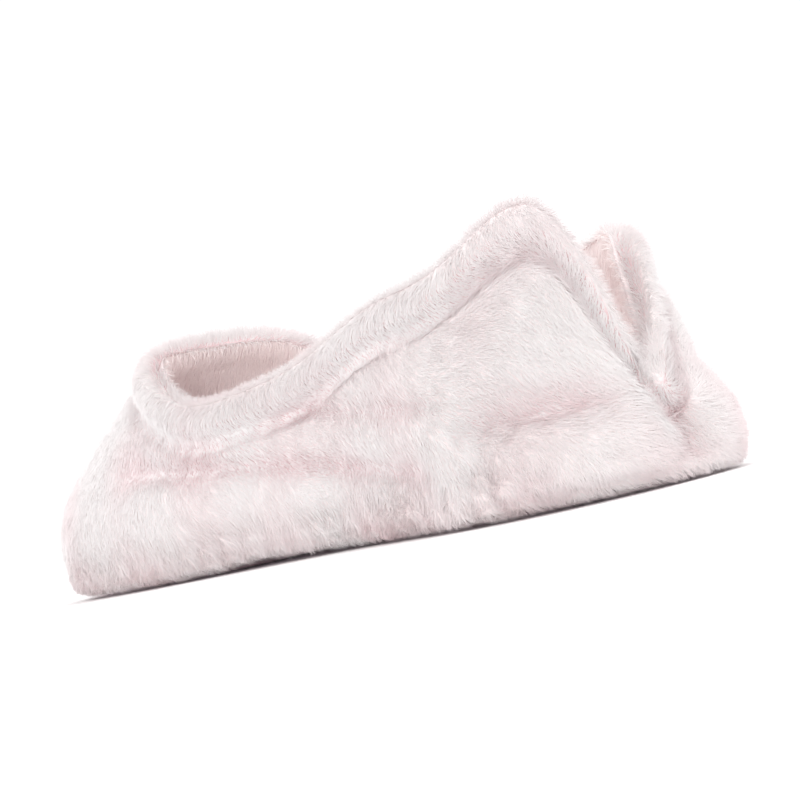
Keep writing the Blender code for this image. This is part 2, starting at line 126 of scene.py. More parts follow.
# A row for each station round the sole's edge, from the back seam forward along the inner side, over the toe
# and back along the outer side. Lengths are percent of the sole's length, widths percent of the ball's width
# and heights percent of the instep's height. low and high are the two inner control points of the profile:
# low_out and low_up from the sole's edge (mm), high_in percent of the way to the collar, high_out beyond (mm)
# at high_up percent of the collar's height.
Station = namedtuple(
    "Station",
    "name along across collar_along collar_across collar_up low_out low_up high_in high_out high_up",
)
STATIONS = (
    Station("back_seam", 0, 0, 2.8, 0, 43, 6, 9, 60, 4, 66),
    Station("inner_heel_corner", 3.3, 25.5, 4.2, 14.0, 97, 7, 14, 80, 5, 68),
    Station("inner_heel", 12.4, 38.5, 12.6, 30.5, 94, 8, 15, 90, 6, 72),
    Station("inner_quarter", 25.0, 34.5, 25.0, 33.5, 86, 8, 15, 100, 7, 74),
    Station("inner_waist", 39.5, 29.0, 39.0, 32.5, 75, 7, 14, 100, 7, 74),
    Station("inner_arch", 55.0, 35.5, 53.0, 36.0, 69, 8, 14, 100, 7, 74),
    Station("inner_joint", 69.0, 43.0, 65.0, 35.5, 73, 8, 17, 92, 8, 74),
    Station("inner_ball", 82.0, 44.0, 74.5, 28.0, 92, 9, 21, 70, 4, 66),
    Station("inner_toe", 93.0, 35.5, 76.5, 15.0, 99, 10, 26, 44, 3, 68),
    Station("toe_tip", 100, 5.5, 77.0, -3.0, 100, 9, 31, 32, 3, 73),
    Station("outer_toe", 94.8, -31.0, 75.5, -21.5, 98, 10, 29, 40, 4, 71),
    Station("outer_ball", 85.0, -55.0, 72.5, -34.5, 90, 9, 22, 66, 6, 70),
    Station("outer_joint", 70.0, -52.0, 63.0, -42.5, 73, 8, 17, 92, 8, 74),
    Station("outer_waist", 53.0, -42.0, 51.0, -41.5, 69, 8, 14, 100, 7, 74),
    Station("outer_quarter", 37.0, -37.5, 36.0, -37.0, 75, 8, 15, 100, 7, 74),
    Station("outer_side", 23.0, -37.0, 23.0, -35.0, 87, 7, 15, 100, 6, 74),
    Station("outer_heel", 10.5, -33.0, 12.5, -27.5, 91, 4, 15, 90, 4, 72),
    Station("outer_heel_corner", 3.0, -21.0, 5.2, -14.5, 80, 3, 14, 80, 3, 68),
)

# A row for each soft crease or ridge of the plush. girth runs along the sole's edge from the back seam, plus
# on the inner side and minus on the outer. Between its ends the fold goes from one height to the other, with
# this breadth to either side, and rises from the wall or sinks into it (mm). The lines are the narrow bottoms
# of the troughs, finer than the solid needs.
Fold = namedtuple("Fold", "name girth_from girth_to up_from up_to breadth rise")
FOLDS = (
    Fold("inner_low_ridge", 56, 235, 8, 14, 8, 1.6),
    Fold("inner_mid_trough", 50, 215, 14, 37, 6.5, -2.4),
    Fold("inner_high_trough", 44, 150, 29, 40, 5.5, -1.4),
    Fold("inner_heel_roll", 0, 46, 11, 12, 9, 4.2),
    Fold("inner_heel_crease", 8, 54, 25, 25, 5.5, -2.4),
    Fold("outer_heel_roll", -2, -50, 13, 13, 9, 1.4),
    Fold("outer_heel_crease", -10, -58, 28, 26, 6, -1.6),
    Fold("outer_low_ridge", -56, -225, 9, 12, 8, 1.4),
    Fold("outer_mid_trough", -60, -190, 20, 30, 6.5, -1.6),
    Fold("inner_mid_line", 58, 205, 15, 35, 2.4, -1.1),
    Fold("inner_high_line", 52, 140, 30, 39, 2.2, -0.8),
    Fold("inner_heel_line", 8, 52, 23, 23, 2.4, -0.9),
    Fold("outer_mid_line", -66, -180, 21, 29, 2.4, -0.8),
)

# The outer pile is one piece for each stretch of girth (mm, from the back seam forward along the inner side,
# over the toe and back along the outer side)
Stretch = namedtuple("Stretch", "name girth_from girth_to")
STRETCHES = (
    Stretch("plush_inner_heel", 0, 95),
    Stretch("plush_inner_side", 95, 215),
    Stretch("plush_inner_toe", 215, 300),
    Stretch("plush_outer_toe", 300, 385),
    Stretch("plush_outer_side", 385, 505),
    Stretch("plush_outer_heel", 505, 600),
)

# How the pile lies: places and distances over which it changes its way
TOE_PARTING = 95 * MM
SEAM_TUFTS = 12 * MM
FAN_FROM = 35 * MM
FAN_TO = 85 * MM
LOW_FRINGE = 14 * MM
HEEL_TUFTS = 34 * MM
STAR_GIRTH = -5 * MM
STAR_UP = 23 * MM
STAR_RADIUS = 12 * MM
HEM_ZONE = 1.4 * HEM_WIDTH
CREASE_FULL = 3.4 * MM
CREASE_POWER = 1.5
# CREST_PARTING weighs the knit's painted crease shade at the parting on the hem's crest
CREST_PARTING = 1.6

# Shares of the brushing that go down and back to the heel, on the sides and on the hem, and back at the seam
SIDE_DOWN, HEM_DOWN = 0.55, 0.9
SIDE_BACK, HEM_BACK = 0.8, 0.35
SEAM_BACK = 0.35

# What a calm side loses of the strands' lift and of the backing's depth, what a shallow backing takes off
# their length, the share of the depth that is left at the lower rim, and the pink that is everywhere
CALM_FLATTER = 0.4
CALM_SHALLOWER = 0.45
SHALLOW_SHORTER = 0.3
RIM_DEPTH = 0.25
PINK_EVERYWHERE = 0.08

# What each zone of the wall adds to the pile where it is full: wildness, lift (degrees) and pinkness, which
# in the creases is painted shade
Habit = namedtuple("Habit", "zone wild lift pink")
HABITS = (
    Habit("low_edge", 0.8, 18, 0.35),
    Habit("heel", 0.3, 6, 0),
    Habit("star", 0.5, 16, 0.3),
    Habit("hem", 0.2, 0, 0),
    Habit("crest", 0.5, 40, 0),
    # painted shade: the creases turn pinker and darker
    Habit("crease", 0, 0, 0.8),
)

# Random fields and their seeds. The smaller tufts are shares of a tuft's size and pull.
WAVES_IN_A_FIELD = 30
SWIRL_SIZE = 34 * MM
BLOTCH_SIZE = 30 * MM
SMALL_TUFT = 0.45
SMALL_PULL = 0.3
SWIRL_SEED, TUFT_SEED, SMALL_TUFT_SEED, BLOTCH_SEED = 7, 11, 12, 13
PILE_SEED = 100
LINING_SEED = 200

# Strands. Pairs are a value where the pile is calm and one where it is wild (angles in radians).
SWIRL_TURN = (0.14, 0.28)
STRAY_TURN = (0.072, 0.432)
STRAY_LIFT = (math.radians(2), math.radians(12))
TUFT_LIFT = (math.radians(1), math.radians(6))
TUFT_PULL = (0.2, 2.4)
SHORTEST = 0.75
STRAND_FLAT = 1 / 8
BLOTCH_PINK = 0.16
STRAY_PINK = 0.07
PINK_RANGE = (0.02, 0.98)
FLOOR_CLEAR = 0.3 * MM
BACKING_APART = 0.4 * MM
LINING_COARSER = 1.25
STRAND_MAP = "OFBake"
STRAND_SPREAD = 0.008
# name of the attribute that carries the knit's painted crease shade
CREASE_SHADE_SHARE = "crease"

# Ribs under the sole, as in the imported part. A pad's rim is a closed curve through a few points (along,
# across, mm). Wave ribs cross the pad: their starts and ends step round the rim from one percentage to
# another, and they leave them by lead_start and lead_end (mm). The first wave divides the pad, and the fan
# ribs spread from it, at divider_from to divider_to percent of its way, to the rim, bowed by bow percent of
# their length.
Waves = namedtuple("Waves", "count start_from start_to end_from end_to lead_start lead_end")
Fan = namedtuple("Fan", "count divider_from divider_to rim_from rim_to bow")
Pad = namedtuple("Pad", "name stands_for rim waves fan")
PADS = (
    Pad(
        "heel_ribs", "heel_grip",
        ((14, 0), (24, 12), (47, 17), (70, 13), (88, 1), (95, -13), (83, -24), (60, -28), (36, -26),
         (19, -14)),
        Waves(4, 12, -3, 72, 84, (12, -6), (6, -12)), Fan(7, 14, 90, 19, 54, -12)),
    Pad(
        "forefoot_ribs", "forefoot_grip",
        ((158, 12), (168, 21), (188, 24.5), (210, 23), (225, 15), (232, 1), (229, -16), (220, -32),
         (205, -41.5), (186, -42.5), (168, -39), (156, -29), (156.5, -10)),
        Waves(7, 3, -17, 58.5, 79, (30, -13), (26, -11)), Fan(10, 9, 93, 13, 52, -10)),
)
RIM_WIDTH = 2.6 * MM
RIB_WIDTH = 1.8 * MM
RIB_SHORT = 0.15 * MM
RIB_APART = 0.05 * MM
FAN_CLEAR = 2.6 * MM
RIM_POINTS = 240
RIB_POINTS = 41
RIB_SECTION = 9

# Grids of the plates under the foot
PLATE_ROWS = 14
SOLE_ROUND_ROWS = 6
FOOTBED_ROUND_ROWS = 7
FOOTBED_COARSER = 4
PADDING_FRAMES = 20
TOP_FACING = 0.9

# Materials: the twill's slant (radians), its cross threads' distance and relief beside the ridges', how dark
# the painted shade in the twill's and the fleece's hollows is, the size of the floor's mottle (m) and a wave
# texture's turn over a unit (radians)
TWILL_SLANT = math.radians(17.5)
THREAD_APART = 0.7
THREAD_RELIEF = 0.35
TWILL_HOLLOW_SHADE = 0.92
FLEECE_HOLLOW_SHADE = 0.8
FLOOR_DARK = 0.985
FLOOR_MOTTLE = 1 / 6
WAVE_TURN = 20

# Stage: a wide floor and soft round lights, placed by turn from the camera's direction and elevation
# (degrees), distance and size (m) and power (W)
FLOOR_RADIUS = 6.0
FLOOR_SIDES = 96
PILE_BOUNCES = 10
CAMERA_CLIP = 10 * MM
Light = namedtuple("Light", "name turn elevation distance size power")
LIGHTS = (
    Light("front_softbox", -10, 6, 1.5, 0.5, 6.0),
    Light("left_softbox", -125, 30, 1.6, 1.0, 4.4),
    Light("right_softbox", 115, 30, 1.6, 1.0, 3.6),
    Light("top_softbox", 60, 80, 1.5, 0.6, 5.0),
)


def linear(code):
    """Linear colour of an sRGB hex value."""
    levels = np.array([int(code[i:i + 2], 16) for i in (1, 3, 5)]) / 255
    return tuple(np.where(levels <= 0.04045, levels / 12.92, ((levels + 0.055) / 1.055) ** 2.4).tolist())


def colour_setting(name, description, code):
    """A colour that a user may change, from its sRGB hex value."""
    return bpy.props.FloatVectorProperty(
        name=name, description=description, default=linear(code), subtype="COLOR")


def length_setting(name, description, metres):
    """A length that a user may change."""
    return bpy.props.FloatProperty(name=name, description=description, default=metres, unit="LENGTH")


def angle_setting(name, description, degrees):
    """An angle that a user may change."""
    return bpy.props.FloatProperty(
        name=name, description=description, default=math.radians(degrees), subtype="ANGLE")


class PlushSettings(bpy.types.PropertyGroup):
    """Pile of the upper and the lining. Its strands are coarser and fewer than real fibres."""

    pile_length: length_setting("Pile length", "Length of a strand of the outer plush", 4.2 * MM)
    pile_depth: length_setting("Pile depth", "How far the backing lies below the outer face", 1.5 * MM)
    pile_density: bpy.props.FloatProperty(
        name="Pile density", description="Strands on a square millimetre of the outer plush", default=5.5)
    strand_width: length_setting("Strand width", "Width of a strand at its root", 0.25 * MM)
    lift: angle_setting("Lift", "Angle of a strand to the backing", 18)
    tuft_size: length_setting("Tuft size", "Distance between neighbouring tufts", 7.0 * MM)
    tuft_pull: length_setting("Tuft pull", "How far tips are drawn to the middle of their tuft", 0.3 * MM)
    lining_length: length_setting("Lining length", "Length of a strand of the lining", 4.2 * MM)
    lining_depth: length_setting("Lining depth", "How far the backing lies below the lining's face", 0.8 * MM)
    lining_density: bpy.props.FloatProperty(
        name="Lining density", description="Strands on a square millimetre of the lining", default=1.6)
    # the lining's colours are whiter than the outer pile's: painted light that lifts the shaded inside of the
    # slipper
    lit_lining_tip: colour_setting("Lining tips", "Colour at the tips of the lining", "#FEF8F7")
    lit_lining_root: colour_setting("Lining roots", "Colour at the roots of the lining", "#FDF5F4")
    lit_lining_blush: colour_setting("Lining blush", "Pink of the lining's folds", "#FCF0EF")
    tip_colour: colour_setting("Tips", "Colour at the tips of the pile", "#ECEAEA")
    # roots a touch darker than the tips: a little painted shade deep in the pile
    root_colour: colour_setting("Roots", "Colour at the roots of the pile", "#ECE9E9")
    # blush: the pile's own pink, and in the creases a painted shade
    blush_and_crease_shade: colour_setting("Blush", "Pink that shows in folds", "#E8D5D7")
    backing_colour: colour_setting("Backing", "Colour of the knit under the pile", "#F8EFEF")
    # painted shade: a darker pink of the knit in creases, on the step below the hem and at the parting on its
    # crest
    crease_shade_colour: colour_setting("Creases", "Colour of the knit where a crease opens the pile", "#DDC2C4")


class SoleSettings(bpy.types.PropertyGroup):
    """Sole, footbed and grips."""

    twill_colour: colour_setting("Twill", "Colour of the sole's twill", "#E9DCE3")
    twill_wale: length_setting("Twill wale", "Distance between the twill's ridges", 0.8 * MM)
    rubber_colour: colour_setting("Rubber", "Colour of the grips", "#EFDDE2")
    footbed_colour: colour_setting("Footbed", "Colour of the footbed", "#FBF2F2")
    footbed_pressure: bpy.props.FloatProperty(
        name="Footbed pressure", description="Air that blows up the footbed's padding", default=4.0)
    footbed_swell: length_setting("Footbed swell", "Most that the padding rises", 1.8 * MM)


class StageSettings(bpy.types.PropertyGroup):
    """Floor, lights and camera."""

    azimuth: angle_setting("Azimuth", "Camera's direction round the slipper", 144.3)
    distance: length_setting("Distance", "Camera's distance from the slipper's middle", 0.62)
    height: length_setting("Height", "Camera's height over the floor", 18 * MM)
    roll: angle_setting("Roll", "Lean of the slipper in the picture", 13)
    lens: bpy.props.FloatProperty(
        name="Lens", description="Focal length on a 36 mm sensor", default=104.0, unit="CAMERA")
    aim: bpy.props.FloatVectorProperty(
        name="Aim", description="Point that the camera looks at", default=(-7 * MM, 5 * MM, 35 * MM),
        subtype="TRANSLATION", unit="LENGTH")
    floor_colour: colour_setting("Floor", "Colour of the floor", "#FDFCFC")
    daylight: bpy.props.FloatProperty(
        name="Daylight", description="Strength of the even light from all round", default=1.07)


def smoothstep(value):
    """Rise from 0 to 1 with flat ends: 3 t squared minus 2 t cubed."""
    value = np.clip(value, 0, 1)
    return value * value * (3 - 2 * value)


def blend(low, high, share):
    """A value on the straight way from low to high."""
    return low + (high - low) * share


def unit(vectors):
    """Vectors at length one."""
    return vectors / np.maximum(np.linalg.norm(vectors, axis=-1, keepdims=True), TINY)


def around(points, axis):
    """From the point before to the point after, for each point of closed rows."""
    return np.roll(points, -1, axis) - np.roll(points, 1, axis)


def level(places):
    """Flat places or directions, given a height of zero."""
    return np.hstack([places, np.zeros((len(places), 1))])


def distances(curves):
    """Distances along many curves at once, from each one's start to its points."""
    steps = np.linalg.norm(np.diff(curves, axis=1), axis=2)
    return np.hstack([np.zeros((len(curves), 1)), np.cumsum(steps, 1)])


def close_ends(count):
    """Shares from 0 to 1 that crowd at both ends: half of one less a cosine over half a turn."""
    return 0.5 - 0.5 * np.cos(np.linspace(0, math.pi, count))


def bezier(start, lead_start, lead_end, end, t):
    """Cubic Bezier curves, a row of points at the shares t for each row of control points."""
    t = t[None, :, None]
    s = 1 - t
    ends = s ** 3 * start[:, None] + t ** 3 * end[:, None]
    return ends + 3 * s * s * t * lead_start[:, None] + 3 * s * t * t * lead_end[:, None]


def closed_spline(knots, values, period, where):
    """Cubic spline through rows of values at knots, whose end joins its start with the same bend."""
    count = len(knots)
    step = np.diff(np.append(knots, knots[0] + period))
    back = np.roll(step, 1)
    ahead = (np.roll(values, -1, 0) - values) / step[:, None]
    behind = np.roll(ahead, 1, 0)
    eye = np.eye(count)
    neighbours = back[:, None] * np.roll(eye, -1, 1), step[:, None] * np.roll(eye, 1, 1)
    matrix = 2 * np.diag(back + step) + neighbours[0] + neighbours[1]
    bend = np.linalg.solve(matrix, 6 * (ahead - behind))
    where = np.mod(np.asarray(where) - knots[0], period) + knots[0]
    index = np.clip(np.searchsorted(knots, where, side="right") - 1, 0, count - 1)
    following = (index + 1) % count
    width = step[index][:, None]
    part = (where - knots[index])[:, None] / width
    rest = 1 - part
    cubic = (rest ** 3 - rest) * bend[index] + (part ** 3 - part) * bend[following]
    return rest * values[index] + part * values[following] + cubic * width ** 2 / 6


def chord_knots(points):
    """Distances along the closed polygon through some points, and its whole length."""
    sides = np.linalg.norm(np.roll(points, -1, 0) - points, axis=1)
    return np.concatenate([[0], np.cumsum(sides)[:-1]]), sides.sum()


def bend_up(points):
    """Lift points by the toe spring and the arch, fading up the wall.

    The toe spring is a square from its start, and the arch a squared sine.
    """
    along, up = points[..., 0], points[..., 2]
    toe = np.clip((along - TOE_SPRING_START) / (SOLE_LENGTH - TOE_SPRING_START), 0, None)
    arch = np.clip((along - ARCH_START) / (ARCH_END - ARCH_START), 0, 1)
    lift = TOE_SPRING * toe ** 2 + ARCH_RISE * np.sin(math.pi * arch) ** 2
    fade = 1 - smoothstep((up - BEND_FULL_BELOW) / (BEND_NONE_ABOVE - BEND_FULL_BELOW))
    lifted = points.copy()
    lifted[..., 2] = up + lift * fade
    return lifted


Ring = namedtuple("Ring", "edge collar bends out girth")
Wall = namedtuple("Wall", "points normals ring_way loop_way inner_share below place girth rise")


def ring_of_stations():
    """Stations round the sole's edge, in pairs at the same distance along: a closed spline of the table."""
    table = np.array([row[1:] for row in STATIONS], float)
    length, width, height, percent = SOLE_LENGTH / 100, BALL_WIDTH / 100, INSTEP_HEIGHT / 100, 0.01
    table *= np.array([length, width, length, width, height, MM, MM, percent, MM, percent])
    knots, period = chord_knots(table[:, :2])
    fine = np.arange(EDGE_SAMPLES) / EDGE_SAMPLES * period
    edge = closed_spline(knots, table[:, :2], period, fine)
    rear, tip = np.argmin(edge[:, 0]), np.argmax(edge[:, 0])
    fine = np.roll(fine, -rear)
    fine = np.where(fine < fine[0], fine + period, fine)
    edge = np.roll(edge, -rear, 0)
    tip = (tip - rear) % EDGE_SAMPLES
    along = blend(edge[0, 0], edge[tip, 0], close_ends(SECTIONS + 1))
    inner_side = np.interp(along, edge[: tip + 1, 0], fine[: tip + 1])
    outer_side = np.interp(along[1:-1], edge[tip:, 0][::-1], fine[tip:][::-1])
    where = np.concatenate([inner_side, outer_side[::-1]])
    columns = closed_spline(knots, table, period, where)
    ahead = closed_spline(knots, table[:, :2], period, where + MM)
    behind = closed_spline(knots, table[:, :2], period, where - MM)
    tangent = unit(ahead - behind)
    out = np.column_stack([-tangent[:, 1], tangent[:, 0]])
    out *= np.sign((out * (columns[:, :2] - columns[:, :2].mean(0))).sum(1))[:, None]
    girth = where - where[0]
    girth = np.where(girth > period / 2, girth - period, girth)
    return Ring(columns[:, :2], columns[:, 2:5], columns[:, 5:].T, out, girth)


def profiles(ring):
    """Cubic Bezier curves from the sole's edge to the collar, one for each station."""
    low_out, low_up, high_in, high_out, high_up = ring.bends[:, :, None]
    out, edge = level(ring.out), level(ring.edge)
    upward = np.array([0, 0, 1.0])
    foot = edge + out * (WALL + GAP) + upward * RIM_UP
    low = foot + out * low_out + upward * low_up
    high = edge + (ring.collar - edge) * np.array([1, 1, 0]) * high_in + out * high_out
    high[:, 2] = ring.collar[:, 2] * high_up[:, 0]
    return bezier(foot, low, high, ring.collar, np.linspace(0, 1, PROFILE_SAMPLES))


def at_distances(curves, far, place):
    """Points on many curves at once at given distances, straight between each curve's samples."""
    index = np.clip((far[:, :, None] <= place[:, None, :]).sum(1) - 1, 0, far.shape[1] - 2)
    start, end = np.take_along_axis(far, index, 1), np.take_along_axis(far, index + 1, 1)
    part = ((place - start) / (end - start))[..., None]
    low = np.take_along_axis(curves, index[..., None], 1)
    high = np.take_along_axis(curves, index[..., None] + 1, 1)
    return blend(low, high, part)


def wall_rows(ring, low_rows, hem_rows):
    """The plain wall at rows: even shares of its lower part, then even steps over the hem to the collar."""
    fine = profiles(ring)
    far = distances(fine)
    whole = far[:, -1:]
    low = np.linspace(0, 1, low_rows, endpoint=False)
    hem = np.linspace(HEM_REGION, 0, hem_rows)
    place = np.hstack([low * (whole - HEM_REGION), whole - hem])
    return at_distances(fine, far, place), place, whole - place


def outward(points, ring):
    """Normals of an open wall of stations by rows: climb crossed with the way round, turned to face out."""
    normal = unit(np.cross(np.gradient(points, axis=1), around(points, 0)))
    return normal * np.sign(np.median((normal[:, 1, :2] * ring.out).sum(1)))


def fold_rise(ring, up):
    """Sum of the folds, and the back seam's valley, a bell in girth.

    Each fold is a bell across its line that fades in and out along it.
    """
    rise = np.zeros_like(up)
    for fold in FOLDS:
        low, high = sorted((fold.girth_from * MM, fold.girth_to * MM))
        ends = smoothstep((ring.girth - low) / FOLD_FADE) * smoothstep((high - ring.girth) / FOLD_FADE)
        part = np.clip((ring.girth / MM - fold.girth_from) / (fold.girth_to - fold.girth_from), 0, 1)
        line = blend(fold.up_from, fold.up_to, part) * MM
        away = (up - line[:, None]) / (fold.breadth * MM)
        rise += ends[:, None] * fold.rise * MM * np.exp(-away ** 2)
    return rise - SEAM_DEPTH * np.exp(-(ring.girth / SEAM_BREADTH) ** 2)[:, None]


def hem_roll(below):
    """Half ellipse across the hem, by distance below the collar."""
    half = HEM_WIDTH / 2
    return np.clip(1 - ((below - half) / half) ** 2, 0, None) ** 0.5


def half_turn(start, end, lift, rows):
    """Rows of a half ellipse from one loop to another, bulging by lift."""
    angles = np.linspace(0, math.pi, rows + 2)[1:-1, None]
    middle, half = (start + end) / 2, (start - end) / 2
    turn = np.cos(angles) * half[:, None] + np.sin(angles) * lift[:, None]
    return middle[:, None] + turn


def inner_wall(ring, low_rows, hem_rows):
    """The lining's face: the plain wall moved in by its thickness, with the hem rolled a little inward."""
    plain, place, below = wall_rows(ring, low_rows, hem_rows)
    normal = outward(plain, ring)
    normal[..., 2] *= smoothstep(place / BASE_FLATTEN)
    return plain - unit(normal) * (WALL + HEM_IN * hem_roll(below))[..., None], place, below


def outer_wall(ring):
    """The plush face: the plain wall, its folds, and the hem rolled out round the collar over a crease."""
    plain, place, below = wall_rows(ring, OUTER_LOW_ROWS, OUTER_HEM_ROWS)
    crease = np.exp(-((below - HEM_WIDTH - HEM_CREASE_BREADTH) / HEM_CREASE_BREADTH) ** 2)
    rise = fold_rise(ring, plain[..., 2]) * smoothstep(place / RIM_UP) * smoothstep(below / HEM_WIDTH)
    rise += HEM_OUT * hem_roll(below) - HEM_CREASE * crease
    return plain + outward(plain, ring) * rise[..., None], place, below, rise


def upper_wall(ring):
    """The wall as closed loops: up the outside, over the hem, down the lining and round the lower rim."""
    outer, place, below, rise = outer_wall(ring)
    inner, inner_place, inner_below = inner_wall(ring, INNER_LOW_ROWS, INNER_HEM_ROWS)
    inner, inner_place, inner_below = inner[:, ::-1], inner_place[:, ::-1], inner_below[:, ::-1]
    climb = unit(outer[:, -1] - outer[:, -2]) * WALL / 2 * RIM_ROUND
    drop = np.broadcast_to(np.array([0, 0, -WALL / 2 * RIM_ROUND]), climb.shape)
    top = half_turn(outer[:, -1], inner[:, 0], climb, TOP_ROWS)
    foot = half_turn(inner[:, -1], outer[:, 0], drop, FOOT_ROWS)
    points = bend_up(np.concatenate([outer, top, inner, foot], 1))
    count = len(points)
    none_top, none_foot = np.zeros((count, TOP_ROWS)), np.zeros((count, FOOT_ROWS))
    share = np.concatenate([
        np.zeros(outer.shape[1]), np.linspace(0, 1, TOP_ROWS + 2)[1:-1],
        np.ones(inner.shape[1]), np.linspace(1, 0, FOOT_ROWS + 2)[1:-1]])
    ring_way, loop_way = unit(around(points, 0)), unit(around(points, 1))
    normals = unit(np.cross(loop_way, ring_way))
    facing = np.sign(np.median((normals[:, OUTER_LOW_ROWS // 2, :2] * ring.out).sum(1)))
    return Wall(
        points, normals * facing, ring_way, loop_way, np.broadcast_to(share, points.shape[:2]),
        np.hstack([below, none_top, inner_below, none_foot + FAR]),
        np.hstack([place, none_top + FAR, inner_place, none_foot]),
        np.broadcast_to(ring.girth[:, None], points.shape[:2]),
        np.hstack([rise, none_top, np.zeros_like(inner_place), none_foot]))


def ripples(points, wavelength, seed):
    """A soft random field and its slope: a sum of plane waves of one length in random directions."""
    rng = np.random.default_rng(seed)
    push = unit(rng.normal(size=(WAVES_IN_A_FIELD, 3))) * 2 * math.pi / wavelength
    phase = points @ push.T + rng.random(WAVES_IN_A_FIELD) * 2 * math.pi
    scale = (2 / WAVES_IN_A_FIELD) ** 0.5
    return np.cos(phase).sum(-1) * scale, -(np.sin(phase) @ push) * scale


def turn_world(vectors):
    """A direction of the shoe as a direction of the world: X is across and Y is back."""
    return np.stack([vectors[..., 1], -vectors[..., 0], vectors[..., 2]], -1)


def to_world(points):
    """Points of the shoe as points of the world."""
    return turn_world(points - slipper().middle)


def mesh_piece(name, points, faces, material, smooth=True):
    """A piece from arrays: points, and faces that all have the same number of corners."""
    mesh = bpy.data.meshes.new(name)
    mesh.vertices.add(len(points))
    mesh.vertices.foreach_set("co", points.astype(np.float32).ravel())
    mesh.loops.add(faces.size)
    mesh.loops.foreach_set("vertex_index", faces.astype(np.int32).ravel())
    mesh.polygons.add(len(faces))
    mesh.polygons.foreach_set("loop_start", np.arange(0, faces.size, faces.shape[1], dtype=np.int32))
    mesh.update(calc_edges=True)
    mesh.polygons.foreach_set("use_smooth", np.full(len(faces), smooth))
    mesh.materials.append(material)
    piece = bpy.data.objects.new(name, mesh)
    bpy.context.scene.collection.objects.link(piece)
    return piece


def grid_faces(rows, columns, close_rows, close_columns):
    """Quads of a grid of points numbered row by row, closed round either way."""
    i, j = np.meshgrid(np.arange(rows if close_rows else rows - 1),
                       np.arange(columns if close_columns else columns - 1), indexing="ij")
    i, j = i.ravel(), j.ravel()
    down, right = (i + 1) % rows, (j + 1) % columns
    return np.column_stack([i * columns + j, down * columns + j, down * columns + right, i * columns + right])


def grid_piece(name, points, material, close_columns):
    """A piece from a grid of points, closed round its stations and, where said, round its loops."""
    faces = grid_faces(*points.shape[:2], True, close_columns)
    return mesh_piece(name, to_world(points).reshape(-1, 3), faces, material)


def close_up(piece):
    """Merge points that coincide and turn every face outwards."""
    shell = bmesh.new()
    shell.from_mesh(piece.data)
    bmesh.ops.remove_doubles(shell, verts=shell.verts, dist=MERGE_WITHIN)
    bmesh.ops.dissolve_degenerate(shell, edges=shell.edges, dist=SLIVER_WITHIN)
    bmesh.ops.recalc_face_normals(shell, faces=shell.faces)
    shell.to_mesh(piece.data)
    shell.free()


def scatter(points, density, rng):
    """Places on a grid, density to a square millimetre: cells drawn by area, then a random place in each."""
    side = points[1:, :-1] - points[:-1, :-1]
    climb = points[:-1, 1:] - points[:-1, :-1]
    areas = np.linalg.norm(np.cross(side, climb), axis=2)
    count = int(areas.sum() / MM ** 2 * density)
    total = np.cumsum(areas.ravel())
    drawn = (np.arange(count) + rng.random(count)) / count * total[-1]
    row, column = np.divmod(np.searchsorted(total, drawn), points.shape[1] - 1)
    return np.minimum(row, len(points) - 2) + rng.random(count), column + rng.random(count)


def read_grid(grid, row, column):
    """Values of a grid between its points, bilinear."""
    i, j = row.astype(int), column.astype(int)
    a, b = (row - i)[:, None], (column - j)[:, None]
    near = grid[i, j] * (1 - a) + grid[i + 1, j] * a
    far = grid[i, j + 1] * (1 - a) + grid[i + 1, j + 1] * a
    return near * (1 - b) + far * b


def feed(tree, made, inputs):
    """Give sockets of a node a value each, or the output that feeds them."""
    for name, value in dict(inputs).items():
        if isinstance(value, bpy.types.NodeSocket):
            tree.links.new(value, made.inputs[name])
        else:
            made.inputs[name].default_value = value


def node(tree, kind, inputs=(), **settings):
    """Add a node: settings are its own values, and inputs go to its sockets."""
    made = tree.nodes.new(kind)
    for name, value in settings.items():
        setattr(made, name, value)
    feed(tree, made, inputs)
    return made


def rgba(colour, share=1.0):
    """A colour with full alpha, darkened to a share of its light."""
    return (*(light * share for light in colour), 1.0)


def own_place(tree):
    """Output with a point's place in the piece's own coordinates."""
    return node(tree, "ShaderNodeTexCoord").outputs["Object"]


def noise(tree, size, **inputs):
    """Output of a noise with grains of this size (m)."""
    inputs = {"Vector": own_place(tree), "Scale": 1 / size, **inputs}
    return node(tree, "ShaderNodeTexNoise", inputs).outputs["Fac"]


# Socket numbers of a colour mix
MIX_A, MIX_B, MIX_OUT = 6, 7, 2


def mix(tree, share, first, second):
    """Output of a mix of two colours."""
    inputs = {0: share, MIX_A: first, MIX_B: second}
    return node(tree, "ShaderNodeMix", inputs, data_type="RGBA").outputs[MIX_OUT]


def bump(tree, height, distance, strength):
    """Output of a normal that a height bends."""
    inputs = {"Height": height, "Distance": distance, "Strength": strength}
    return node(tree, "ShaderNodeBump", inputs).outputs["Normal"]


def new_material(name):
    """An empty material and its node tree."""
    material = bpy.data.materials.new(name)
    material.use_nodes = True
    return material, material.node_tree


def dress(material, sockets):
    """Give sockets of a material's shader their values or the outputs that feed them."""
    feed(material.node_tree, material.node_tree.nodes["Principled BSDF"], sockets)
    return material


